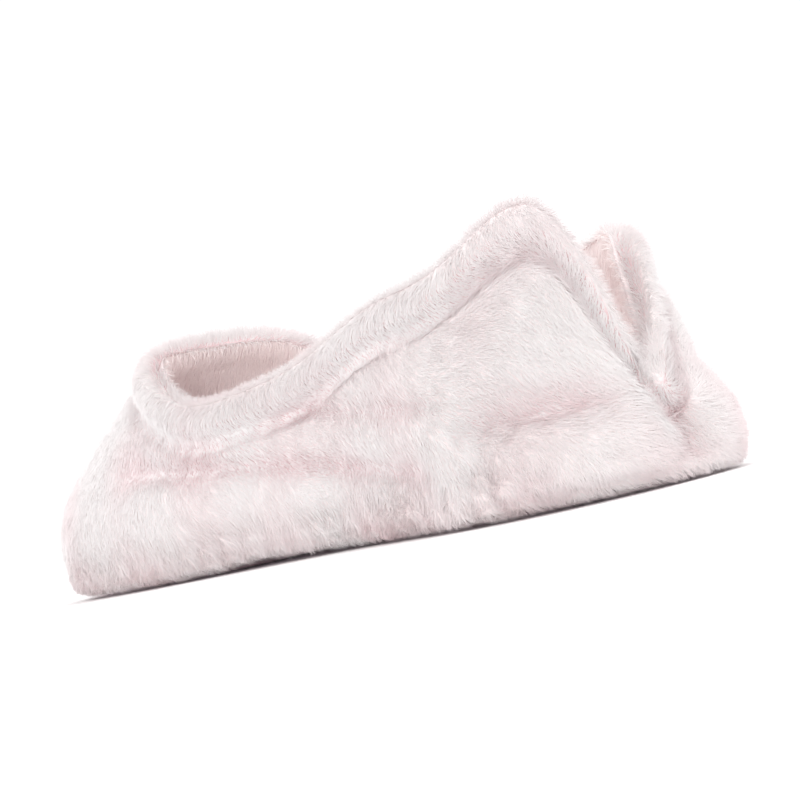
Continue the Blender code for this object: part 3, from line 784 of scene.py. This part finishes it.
def pile_material(name, root, tip, blush):
    """Polyester plush pile: matt, downy strands with a pale bloom, turning to the blush colour toward the tip
    where pink.

    The strand's map gives how pink a strand is (across) and how far along it a point lies (up). That pink is
    the pile's own tint and random mottle, and in the creases a painted shade.
    """
    material, tree = new_material(name)
    place = node(tree, "ShaderNodeUVMap", uv_map=STRAND_MAP)
    parts = node(tree, "ShaderNodeSeparateXYZ", {"Vector": place.outputs["UV"]})
    reach = node(
        tree, "ShaderNodeMapRange", {"Value": parts.outputs["Y"], "From Min": 0.0, "From Max": 0.8},
        interpolation_type="SMOOTHSTEP")
    # at the tip a strand turns to the blush where pink: painted shade in the creases, the pile's own pink
    # elsewhere
    end = mix(tree, parts.outputs["X"], rgba(tip), rgba(blush))
    return dress(material, {
        # the roots are a touch darker than the tips: a little painted shade deep in the pile
        "Base Color": mix(tree, reach.outputs["Result"], rgba(root), end),
        "Roughness": 0.9,
        "Specular IOR Level": 0.2,
        "Sheen Weight": 0.35,
        "Sheen Roughness": 0.4,
        "Sheen Tint": rgba(linear("#FFF4F3")),
    })


def backing_material(colour, crease):
    """Knitted backing, seen between the strands: soft, quite rough and pale, with painted shade, a darker
    pink, in creases.
    """
    material, tree = new_material("plush_backing")
    share = node(tree, "ShaderNodeAttribute", attribute_name=CREASE_SHADE_SHARE)
    return dress(material, {
        "Base Color": mix(tree, share.outputs["Fac"], rgba(colour), rgba(crease)),
        "Normal": bump(tree, noise(tree, 3 * MM, Detail=4.0), 0.6 * MM, 0.7),
        "Roughness": 0.95,
        "Sheen Weight": 0.3,
    })


def wave_scale(wavelength):
    """Scale of a wave texture whose bands are one wavelength apart: it turns 20 radians to a unit."""
    return 2 * math.pi / WAVE_TURN / wavelength


def twill_material(colour, wale):
    """Cotton twill: fine slanting ridges of thread, dull, with painted shade a little darker between them."""
    material, tree = new_material("twill")
    slant = node(tree, "ShaderNodeMapping", {"Vector": own_place(tree), "Rotation": (0, 0, TWILL_SLANT)})
    place = slant.outputs["Vector"]
    ridges = node(
        tree, "ShaderNodeTexWave",
        {"Vector": place, "Scale": wave_scale(wale), "Distortion": 0.6, "Detail": 1.0, "Detail Scale": 1.5})
    threads = node(
        tree, "ShaderNodeTexWave", {"Vector": place, "Scale": wave_scale(wale * THREAD_APART)},
        bands_direction="Y")
    height = node(
        tree, "ShaderNodeMath", {0: threads.outputs["Fac"], 1: THREAD_RELIEF, 2: ridges.outputs["Fac"]},
        operation="MULTIPLY_ADD")
    return dress(material, {
        "Base Color": mix(tree, ridges.outputs["Fac"], rgba(colour, TWILL_HOLLOW_SHADE), rgba(colour)),
        "Normal": bump(tree, height.outputs["Value"], 0.12 * MM, 0.8),
        "Roughness": 0.85,
        "Specular IOR Level": 0.3,
    })


def rubber_material(colour):
    """Moulded thermoplastic rubber: smooth, satin, faintly pitted."""
    material, tree = new_material("grip_rubber")
    grain = noise(tree, 0.5 * MM, Detail=2.0)
    shine = node(tree, "ShaderNodeMapRange", {"Value": grain, "To Min": 0.42, "To Max": 0.6})
    return dress(material, {
        "Base Color": rgba(colour),
        "Normal": bump(tree, grain, 0.03 * MM, 0.5),
        "Roughness": shine.outputs["Result"],
        "IOR": 1.5,
    })


def fleece_material(colour):
    """Brushed fleece of the footbed: a short woolly nap with small curls, and painted shade darker where the
    curls are low.
    """
    material, tree = new_material("brushed_fleece")
    curls = noise(tree, 1.6 * MM, Detail=5.0, Roughness=0.7, Distortion=1.2)
    return dress(material, {
        "Base Color": mix(tree, curls, rgba(colour, FLEECE_HOLLOW_SHADE), rgba(colour)),
        "Normal": bump(tree, curls, 0.7 * MM, 0.8),
        "Roughness": 0.95,
        "Sheen Weight": 0.4,
    })


def floor_material(colour):
    """Matt painted board: pale and even, with a faint mottle."""
    material, tree = new_material("matt_board")
    return dress(material, {
        "Base Color": mix(tree, noise(tree, FLOOR_MOTTLE), rgba(colour, FLOOR_DARK), rgba(colour)),
        "Roughness": 0.9,
        "Specular IOR Level": 0.1,
    })


Slipper = namedtuple("Slipper", "ring wall middle")


@functools.cache
def slipper():
    """The stations, the wall and the middle of its box on the floor, the world's origin, worked out once."""
    ring = ring_of_stations()
    wall = upper_wall(ring)
    corners = wall.points.reshape(-1, 3)
    return Slipper(ring, wall, (corners.min(0) + corners.max(0)) / 2 * np.array([1, 1, 0]))


Zones = namedtuple("Zones", "low_edge heel star hem crest crease calm")


def from_star(wall):
    """Ways from the star on the back seam to the points of the wall: round the girth and up."""
    return np.stack([wall.girth - STAR_GIRTH, wall.points[..., 2] - STAR_UP], -1)


def zones(wall):
    """Shares, from 0 to 1, of each zone of the wall.

    They are the fringe at the sole's edge, the heel, a star on the back seam (a bell), the hem, its crest,
    the creases (a power of their depth) and the calm side.
    """
    outside = 1 - wall.inner_share
    low_edge = (1 - smoothstep(wall.place / LOW_FRINGE)) * outside
    heel = (1 - smoothstep((np.abs(wall.girth) - HEEL_TUFTS) / HEEL_TUFTS)) * outside
    star = np.exp(-(from_star(wall) ** 2).sum(-1) / STAR_RADIUS ** 2) * outside
    hem = smoothstep((HEM_ZONE - wall.below) / HEM_WIDTH)
    crest = np.clip(1 - np.abs(wall.inner_share - 0.5) * 2, 0, 1) * (wall.below < HEM_REGION)
    crease = np.clip(-wall.rise / CREASE_FULL, 0, 1) ** CREASE_POWER
    calm = (1 - low_edge) * (1 - heel) * (1 - hem) * outside
    return Zones(low_edge, heel, star, hem, crest, crease, calm)


def creases(wall):
    """Share, from 0 to 1, of painted shade in the knit, a darker pink: in folds, on the step below the hem
    and on its crest.
    """
    zone = zones(wall)
    step = np.exp(-((wall.below - HEM_WIDTH) / HEM_CREASE_BREADTH) ** 2) * (1 - wall.inner_share)
    return np.clip(zone.crease + step + CREST_PARTING * zone.crest, 0, 1)


def backing_depth(wall, plush):
    """How far the backing lies below each face.

    It is less on the calm sides, where a crease thins the wall, and at the lower rim.
    """
    room = WALL + wall.rise - plush.lining_depth - BACKING_APART
    outer = np.clip(room, BACKING_APART, plush.pile_depth * (1 - CALM_SHALLOWER * zones(wall).calm))
    rim = blend(RIM_DEPTH, 1, smoothstep(wall.place / (2 * RIM_UP)))
    return blend(outer, plush.lining_depth, wall.inner_share) * rim


def backing(wall, plush):
    """Points of the backing, below the wall's faces."""
    return wall.points - wall.normals * backing_depth(wall, plush)[..., None]


def outer_rows(wall):
    """Row numbers of the plush face: the lower rim, the outer wall and the outer half of the hem's top."""
    rows = wall.points.shape[1]
    outer = OUTER_LOW_ROWS + OUTER_HEM_ROWS
    return np.concatenate([np.arange(rows - FOOT_ROWS + 1, rows), np.arange(outer + TOP_ROWS // 2 + 2)])


def lining_rows():
    """Row numbers of the lining's face: inner half of the hem's top and the inner wall."""
    outer = OUTER_LOW_ROWS + OUTER_HEM_ROWS
    return np.arange(outer + TOP_ROWS // 2, outer + TOP_ROWS + INNER_HEM_ROWS + INNER_LOW_ROWS)


def groom(wall, plush):
    """How the pile lies at each point of the wall: flow, lift, share of full length, pinkness, wildness.

    The pile is brushed down and toward the heel; on the outer heel it fans away from the back seam, and it
    radiates from a star on the seam. It parts and stands up, tousled, on top of the hem, is tousled along the
    sole's edge and at the heel too, and is pinker near the sole and in creases, where the pink is painted
    shade.
    """
    zone = zones(wall)
    reach = np.abs(wall.girth)
    from_toe = smoothstep((reach.max() - reach) / TOE_PARTING)
    by_seam = blend(SEAM_BACK, 1, smoothstep(reach / SEAM_TUFTS))
    fan = smoothstep((reach - FAN_FROM) / (FAN_TO - FAN_FROM)) * 2 - 1
    back = np.where(wall.girth > 0, -1.0, fan) * from_toe * by_seam * blend(SIDE_BACK, HEM_BACK, zone.hem)
    down = (wall.inner_share * 2 - 1) * blend(SIDE_DOWN, HEM_DOWN, zone.hem)
    flow = wall.ring_way * back[..., None] + wall.loop_way * down[..., None]
    away = unit(from_star(wall))
    radial = wall.ring_way * away[..., :1] + wall.loop_way * away[..., 1:]
    flow = blend(flow, radial, zone.star[..., None])
    wild, lift, pink = 0.0, plush.lift * (1 - CALM_FLATTER * zone.calm), PINK_EVERYWHERE
    for habit in HABITS:
        share = getattr(zone, habit.zone)
        wild = wild + habit.wild * share
        lift = lift + math.radians(habit.lift) * share
        pink = pink + habit.pink * share
    shallow = 1 - backing_depth(wall, plush) / plush.pile_depth
    length = 1 - np.where(wall.inner_share > 0.5, 0, SHALLOW_SHORTER * shallow)
    return np.concatenate([flow, np.stack([lift, length, pink, np.clip(wild, 0, 1)], -1)], -1)


Pile = namedtuple("Pile", "density width length material seed")


def strands(roots, normals, lie, plush, pile):
    """Tapered strands as four points each: a small triangle round the root, then the tip.

    A strand leaves the backing along the flow, lifted by its angle and turned by a soft random swirl. Its tip
    is drawn up the slope of a second random field, so that strands gather in tufts.
    """
    rng = np.random.default_rng(pile.seed)
    count = len(roots)
    lift, share, pink, wild = lie[:, 3:].T
    swirl, _ = ripples(roots, SWIRL_SIZE, SWIRL_SEED)
    tuft, tuft_slope = ripples(roots, plush.tuft_size, TUFT_SEED)
    _, small_slope = ripples(roots, plush.tuft_size * SMALL_TUFT, SMALL_TUFT_SEED)
    blotch, _ = ripples(roots, BLOTCH_SIZE, BLOTCH_SEED)
    pull = (tuft_slope + small_slope * SMALL_PULL) * plush.tuft_size / (2 * math.pi)
    pull -= normals * (pull * normals).sum(1, keepdims=True)
    flow = unit(lie[:, :3] - normals * (lie[:, :3] * normals).sum(1, keepdims=True))
    turn = swirl * blend(*SWIRL_TURN, wild) + rng.normal(size=count) * blend(*STRAY_TURN, wild)
    heading = flow * np.cos(turn)[:, None] + np.cross(normals, flow) * np.sin(turn)[:, None]
    lift = lift + rng.normal(size=count) * blend(*STRAY_LIFT, wild) + tuft * blend(*TUFT_LIFT, wild)
    reach = share * pile.length * blend(SHORTEST, 1, rng.random(count))
    way = heading * np.cos(lift)[:, None] + normals * np.sin(lift)[:, None]
    tip = roots + way * reach[:, None] + pull * (plush.tuft_pull * blend(*TUFT_PULL, wild))[:, None]
    tip[:, 2] = np.maximum(tip[:, 2], FLOOR_CLEAR)
    side = unit(np.cross(tip - roots, normals)) * pile.width / 2
    up = unit(np.cross(side, tip - roots)) * pile.width * STRAND_FLAT
    points = np.stack([roots + up * 2, roots - up + side, roots - up - side, tip], 1)
    pink = pink + blotch * BLOTCH_PINK + rng.normal(size=count) * STRAY_PINK
    return points, np.clip(pink, *PINK_RANGE)


def pile_piece(name, roots, normals, lie, plush, pile):
    """One joined mesh of strands, each a slim three-sided spike."""
    points, pink = strands(roots, normals, lie, plush, pile)
    count = len(points)
    corners = np.array([[0, 1, 3], [1, 2, 3], [2, 0, 3]])
    faces = (np.arange(count)[:, None, None] * 4 + corners).reshape(-1, 3)
    piece = mesh_piece(name, points.reshape(-1, 3), faces, pile.material, smooth=False)
    across = pink[:, None] * (1 - 2 * STRAND_SPREAD) + STRAND_SPREAD * np.array([1, 2, 0, 1])
    along = np.broadcast_to(np.array([0.0, 0.0, 0.0, 1.0]), across.shape)
    places = np.stack([across, along], -1).reshape(-1, 2)[faces.ravel()]
    piece.data.uv_layers.new(name=STRAND_MAP).data.foreach_set("uv", places.astype(np.float32).ravel())
    return piece


def grow(name, stations, rows, plush, pile):
    """Pile on a stretch of the wall, rooted on the backing."""
    wall = slipper().wall
    pick = np.ix_(stations, rows)
    lie = groom(wall, plush)[pick]
    roots = to_world(backing(wall, plush)[pick])
    grid = [roots, turn_world(wall.normals[pick]), turn_world(lie[..., :3]), lie[..., 3:]]
    row, column = scatter(roots, pile.density, np.random.default_rng(pile.seed))
    found = read_grid(np.concatenate(grid, -1), row, column)
    piece = pile_piece(name, found[:, :3], unit(found[:, 3:6]), found[:, 6:], plush, pile)
    return settle(piece, "plush")


def settle(piece, slot, *nodes):
    """Fix a piece to the slipper and hide the solids that it stands for. Its finish, the slot, is not used.
    """
    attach(piece, BODY)
    if nodes:
        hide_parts(*nodes)
    return piece


class SLIPPER_OT_upper(bpy.types.Operator):
    """Make the knitted backing of the upper, outside and inside"""

    bl_idname = "slipper.upper"
    bl_label = "Upper"

    def execute(self, context):
        plush = context.scene.slipper_plush
        wall = slipper().wall
        material = backing_material(plush.backing_colour, plush.crease_shade_colour)
        piece = grid_piece("upper_backing", backing(wall, plush), material, True)
        # the knit's painted crease shade, a share at each point
        share = piece.data.attributes.new(CREASE_SHADE_SHARE, "FLOAT", "POINT")
        share.data.foreach_set("value", creases(wall).astype(np.float32).ravel())
        close_up(piece)
        settle(piece, "plush", "upper")
        return {"FINISHED"}


class SLIPPER_OT_pile(bpy.types.Operator):
    """Grow the plush pile on the outside of the upper, stretch by stretch"""

    bl_idname = "slipper.pile"
    bl_label = "Outer pile"

    def execute(self, context):
        plush = context.scene.slipper_plush
        ring, wall, _ = slipper()
        sizes = plush.pile_density, plush.strand_width, plush.pile_length
        material = pile_material("plush_pile", plush.root_colour, plush.tip_colour, plush.blush_and_crease_shade)
        girth = np.where(ring.girth < 0, ring.girth + np.ptp(ring.girth), ring.girth) / MM
        order = np.argsort(girth)
        for number, stretch in enumerate(STRETCHES):
            first, last = np.searchsorted(girth[order], (stretch.girth_from, stretch.girth_to))
            stations = np.take(order, np.arange(first, last + 1), mode="wrap")
            pile = Pile(*sizes, material, PILE_SEED + number)
            grow(stretch.name, stations, outer_rows(wall), plush, pile)
        return {"FINISHED"}


class SLIPPER_OT_lining(bpy.types.Operator):
    """Grow the sparser pile of the lining, its whiter colours painted light for the shaded inside"""

    bl_idname = "slipper.lining"
    bl_label = "Lining pile"

    def execute(self, context):
        plush = context.scene.slipper_plush
        ring = slipper().ring
        material = pile_material("lining_pile", plush.lit_lining_root, plush.lit_lining_tip, plush.lit_lining_blush)
        stations = np.arange(len(ring.girth) + 1) % len(ring.girth)
        width = plush.strand_width * LINING_COARSER
        pile = Pile(plush.lining_density, width, plush.lining_length, material, LINING_SEED)
        grow("lining_pile", stations, lining_rows(), plush, pile)
        return {"FINISHED"}


def plate(ring, loops):
    """Closed plate: loops from the underside's edge to the top's, filled to the middle of each pair."""
    partner = (-np.arange(len(ring.girth))) % len(ring.girth)
    share = np.linspace(1, 0, PLATE_ROWS, endpoint=False)[:, None, None]
    first, last = loops[0], loops[-1]
    low = blend(first, (first + first[partner]) / 2, share)
    high = blend(last, (last + last[partner]) / 2, share[::-1])
    return np.concatenate([low, loops, high]).transpose(1, 0, 2)


def inner_loop(ring, up, inset):
    """Loop of the lining's face at one height, moved inward by the inset."""
    inner, _, _ = inner_wall(ring, INNER_LOW_ROWS, INNER_HEM_ROWS)
    place = at_distances(inner, inner[..., 2], np.full((len(inner), 1), up))[:, 0]
    return place - level(ring.out) * inset


def sole_surface(ring):
    """Plate whose side follows the lining's face and whose lower edge is rounded by a quarter ellipse."""
    side = inner_loop(ring, RIM_UP, GAP)
    loops = []
    for angle in np.linspace(0, math.pi / 2, SOLE_ROUND_ROWS):
        loop = side - level(ring.out) * SOLE_EDGE_IN * (1 - math.sin(angle))
        loop[:, 2] = RIM_UP - (RIM_UP - SOLE_BOTTOM) * math.cos(angle)
        loops.append(loop)
    loops += [inner_loop(ring, up, GAP) for up in ((RIM_UP + SOLE_TOP) / 2, SOLE_TOP)]
    return bend_up(plate(ring, np.array(loops)))


class SLIPPER_OT_sole(bpy.types.Operator):
    """Make the twill-covered sole"""

    bl_idname = "slipper.sole"
    bl_label = "Sole"

    def execute(self, context):
        sole = context.scene.slipper_sole
        material = twill_material(sole.twill_colour, sole.twill_wale)
        piece = grid_piece("twill_sole", sole_surface(slipper().ring), material, False)
        close_up(piece)
        settle(piece, "twill", "sole")
        return {"FINISHED"}


def footbed_surface(ring):
    """Plate inside the lining's face whose edge is rounded by a half circle."""
    half = (INSOLE_TOP - INSOLE_BOTTOM) / 2
    loops = []
    for angle in np.linspace(-math.pi / 2, math.pi / 2, FOOTBED_ROUND_ROWS):
        up = INSOLE_BOTTOM + half * (1 + math.sin(angle))
        loops.append(inner_loop(ring, up, GAP) - level(ring.out) * half * (1 - math.cos(angle)))
    return bend_up(plate(ring, np.array(loops)))[::FOOTBED_COARSER]


def swell(piece, held, pressure, most):
    """Pad a closed cover by cloth simulation: air pushes its free points out, none further than most."""
    group = piece.vertex_groups.new(name="held")
    group.add(np.flatnonzero(held).tolist(), 1.0, "REPLACE")
    cloth = piece.modifiers.new("padding", "CLOTH")
    cloth.settings.vertex_group_mass = group.name
    cloth.settings.use_pressure = True
    cloth.settings.uniform_pressure_force = pressure
    cloth.settings.effector_weights.gravity = 0.0
    cloth.collision_settings.use_collision = False
    cloth.point_cache.frame_end = PADDING_FRAMES
    scene = bpy.context.scene
    for number in range(1, PADDING_FRAMES + 1):
        scene.frame_set(number)
    blown = piece.evaluated_get(bpy.context.evaluated_depsgraph_get()).data
    start, end = (np.empty(len(held) * 3, np.float32) for _ in range(2))
    piece.data.vertices.foreach_get("co", start)
    blown.vertices.foreach_get("co", end)
    move = (end - start).reshape(-1, 3)
    size = np.linalg.norm(move, axis=1, keepdims=True)
    move *= most * np.tanh(size / most) / np.maximum(size, TINY)
    piece.modifiers.remove(cloth)
    piece.vertex_groups.remove(group)
    scene.frame_set(1)
    piece.data.vertices.foreach_set("co", start + move.ravel())
    piece.data.update()


class SLIPPER_OT_footbed(bpy.types.Operator):
    """Make the padded footbed"""

    bl_idname = "slipper.footbed"
    bl_label = "Footbed"

    def execute(self, context):
        sole = context.scene.slipper_sole
        material = fleece_material(sole.footbed_colour)
        piece = grid_piece("footbed", footbed_surface(slipper().ring), material, False)
        close_up(piece)
        normals = np.empty(len(piece.data.vertices) * 3, np.float32)
        piece.data.vertices.foreach_get("normal", normals)
        swell(piece, normals[2::3] < TOP_FACING, sole.footbed_pressure, sole.footbed_swell)
        smooth = piece.modifiers.new("smooth", "SUBSURF")
        smooth.levels = smooth.render_levels = 1
        settle(piece, "footbed", "insole")
        return {"FINISHED"}


def rib_paths(pad, rim_at):
    """Middle lines of a pad's ribs: waves from rim to rim, then the fan that spreads from the first wave."""
    waves, fan = pad.waves, pad.fan
    starts = rim_at(np.linspace(waves.start_from, waves.start_to, waves.count))
    ends = rim_at(np.linspace(waves.end_from, waves.end_to, waves.count))
    reach = np.linalg.norm(ends - starts, axis=1)
    size = (reach / reach[0])[:, None] * MM
    leads = starts + np.array(waves.lead_start) * size, ends - np.array(waves.lead_end) * size
    shares = close_ends(RIB_POINTS)
    crossing = bezier(starts, *leads, ends, shares)
    share = np.linspace(fan.divider_from, fan.divider_to, fan.count) / 100
    roots = bezier(starts[:1], leads[0][:1], leads[1][:1], ends[:1], share)[0]
    tips = rim_at(np.linspace(fan.rim_from, fan.rim_to, fan.count))
    bow = np.column_stack([roots[:, 1] - tips[:, 1], tips[:, 0] - roots[:, 0]]) * fan.bow / 100
    roots = roots + unit(tips - roots) * FAN_CLEAR
    third = (tips - roots) / 3
    return np.concatenate([crossing, bezier(roots, roots + third + bow, tips - third + bow, tips, shares)])


def ribs(paths, width, low, closed):
    """Half ellipses swept along flat paths, from the twill down to the low level; open ends round off."""
    ahead = around(paths, 1) if closed else np.gradient(paths, axis=1)
    side = unit(np.stack([-ahead[..., 1], ahead[..., 0]], -1)) * width / 2
    far = distances(paths)
    to_end = np.minimum(far, far[:, -1:] - far) / (width / 2)
    full = np.ones_like(far) if closed else (1 - np.clip(1 - to_end, 0, 1) ** 2) ** 0.5
    angles = np.linspace(0, math.pi, RIB_SECTION)
    top = SOLE_BOTTOM - RIB_APART
    flat = paths[:, :, None] + side[:, :, None] * (full[..., None] * np.cos(angles))[..., None]
    up = top - (top - low) * full[..., None] * np.sin(angles)
    points = bend_up(np.concatenate([flat, up[..., None]], -1))
    faces = grid_faces(points.shape[1], RIB_SECTION, closed, True)
    jump = points.shape[1] * RIB_SECTION * np.arange(len(paths))
    return points.reshape(-1, 3), (faces[None] + jump[:, None, None]).reshape(-1, 4)


class SLIPPER_OT_grips(bpy.types.Operator):
    """Make the rubber ribs under the heel and the forefoot"""

    bl_idname = "slipper.grips"
    bl_label = "Grips"

    def execute(self, context):
        material = rubber_material(context.scene.slipper_sole.rubber_colour)
        for pad in PADS:
            corners = np.array(pad.rim, float) * MM
            knots, period = chord_knots(corners)

            def rim_at(percent):
                """Points of the rim at percentages of its length."""
                return closed_spline(knots, corners, period, percent / 100 * period)

            rim = rim_at(np.arange(RIM_POINTS) / RIM_POINTS * 100)[None]
            rim_points, rim_faces = ribs(rim, RIM_WIDTH, 0.0, True)
            rib_points, rib_faces = ribs(rib_paths(pad, rim_at), RIB_WIDTH, RIB_SHORT, False)
            points = to_world(np.concatenate([rim_points, rib_points]))
            faces = np.concatenate([rim_faces, rib_faces + len(rim_points)])
            piece = mesh_piece(pad.name, points, faces, material)
            close_up(piece)
            settle(piece, "grip_rubber", pad.stands_for)
        return {"FINISHED"}


def aim(thing, target, roll=0.0):
    """Point a camera's or lamp's own -Z at a target, turned about that line by the roll."""
    back = (thing.location - target).normalized()
    thing.rotation_mode = "QUATERNION"
    thing.rotation_quaternion = back.to_track_quat("Z", "Y") @ Quaternion((0, 0, 1), roll)


class SLIPPER_OT_stage(bpy.types.Operator):
    """Set the pale floor, the soft lights and the camera"""

    bl_idname = "slipper.stage"
    bl_label = "Stage"

    def execute(self, context):
        stage, scene = context.scene.slipper_stage, context.scene
        angles = np.linspace(0, 2 * math.pi, FLOOR_SIDES, endpoint=False)
        rim = np.column_stack([np.cos(angles), np.sin(angles), np.zeros(FLOOR_SIDES)]) * FLOOR_RADIUS
        floor = mesh_piece("floor", rim, np.arange(FLOOR_SIDES)[None, :], floor_material(stage.floor_colour))
        world = bpy.data.worlds.new("soft_daylight")
        world.use_nodes = True
        background = world.node_tree.nodes["Background"]
        feed(world.node_tree, background, {"Color": (1, 1, 1, 1), "Strength": stage.daylight})
        scene.world = world
        scene.view_settings.view_transform = "Standard"
        scene.cycles.diffuse_bounces = PILE_BOUNCES
        middle = Vector((0, 0, (CAD_BOX[0].z + CAD_BOX[1].z) / 2))
        for light in LIGHTS:
            lamp = bpy.data.lights.new(light.name, "AREA")
            lamp.shape, lamp.size, lamp.energy = "DISK", light.size, light.power
            thing = bpy.data.objects.new(light.name, lamp)
            azimuth, elevation = stage.azimuth + math.radians(light.turn), math.radians(light.elevation)
            thing.location = middle + direction(azimuth, elevation) * light.distance
            aim(thing, middle)
            scene.collection.objects.link(thing)
        camera = bpy.data.objects.new("camera", bpy.data.cameras.new("camera"))
        camera.data.lens = stage.lens
        flat = direction(stage.azimuth, 0.0) * stage.distance
        camera.location = Vector((flat.x, flat.y, stage.height))
        aim(camera, Vector(stage.aim), -stage.roll)
        camera.data.clip_start = CAMERA_CLIP
        scene.collection.objects.link(camera)
        scene.camera = camera
        return {"FINISHED"}


def direction(azimuth, elevation):
    """Unit vector toward a viewer: azimuth 0 is -Y, and 90 degrees is +X."""
    flat = math.cos(elevation)
    return Vector((math.sin(azimuth) * flat, -math.cos(azimuth) * flat, math.sin(elevation)))


class SLIPPER_PT_panel(bpy.types.Panel):
    """Sidebar panel that lists the settings and the pieces"""

    bl_idname = "SLIPPER_PT_panel"
    bl_label = "Plush slipper"
    bl_space_type = "VIEW_3D"
    bl_region_type = "UI"
    bl_category = "Slipper"

    def draw(self, context):
        for name, group in SETTINGS.items():
            for setting in group.__annotations__:
                self.layout.prop(getattr(context.scene, name), setting)
        for operator in OPERATORS:
            self.layout.operator(operator.bl_idname)


SETTINGS = {"slipper_plush": PlushSettings, "slipper_sole": SoleSettings, "slipper_stage": StageSettings}
OPERATORS = (
    SLIPPER_OT_stage, SLIPPER_OT_upper, SLIPPER_OT_pile, SLIPPER_OT_lining, SLIPPER_OT_sole,
    SLIPPER_OT_footbed, SLIPPER_OT_grips,
)
CLASSES = (*SETTINGS.values(), *OPERATORS, SLIPPER_PT_panel)


def register():
    """Make the settings, the operators and the panel known."""
    for kind in CLASSES:
        bpy.utils.register_class(kind)
    for name, group in SETTINGS.items():
        setattr(bpy.types.Scene, name, bpy.props.PointerProperty(type=group))


def unregister():
    """Take them away again."""
    for name in SETTINGS:
        delattr(bpy.types.Scene, name)
    for kind in reversed(CLASSES):
        bpy.utils.unregister_class(kind)


def main():
    """Build every piece in order."""
    register()
    for operator in OPERATORS:
        group, name = operator.bl_idname.split(".")
        getattr(getattr(bpy.ops, group), name)()


if __name__ == "__main__":
    main()
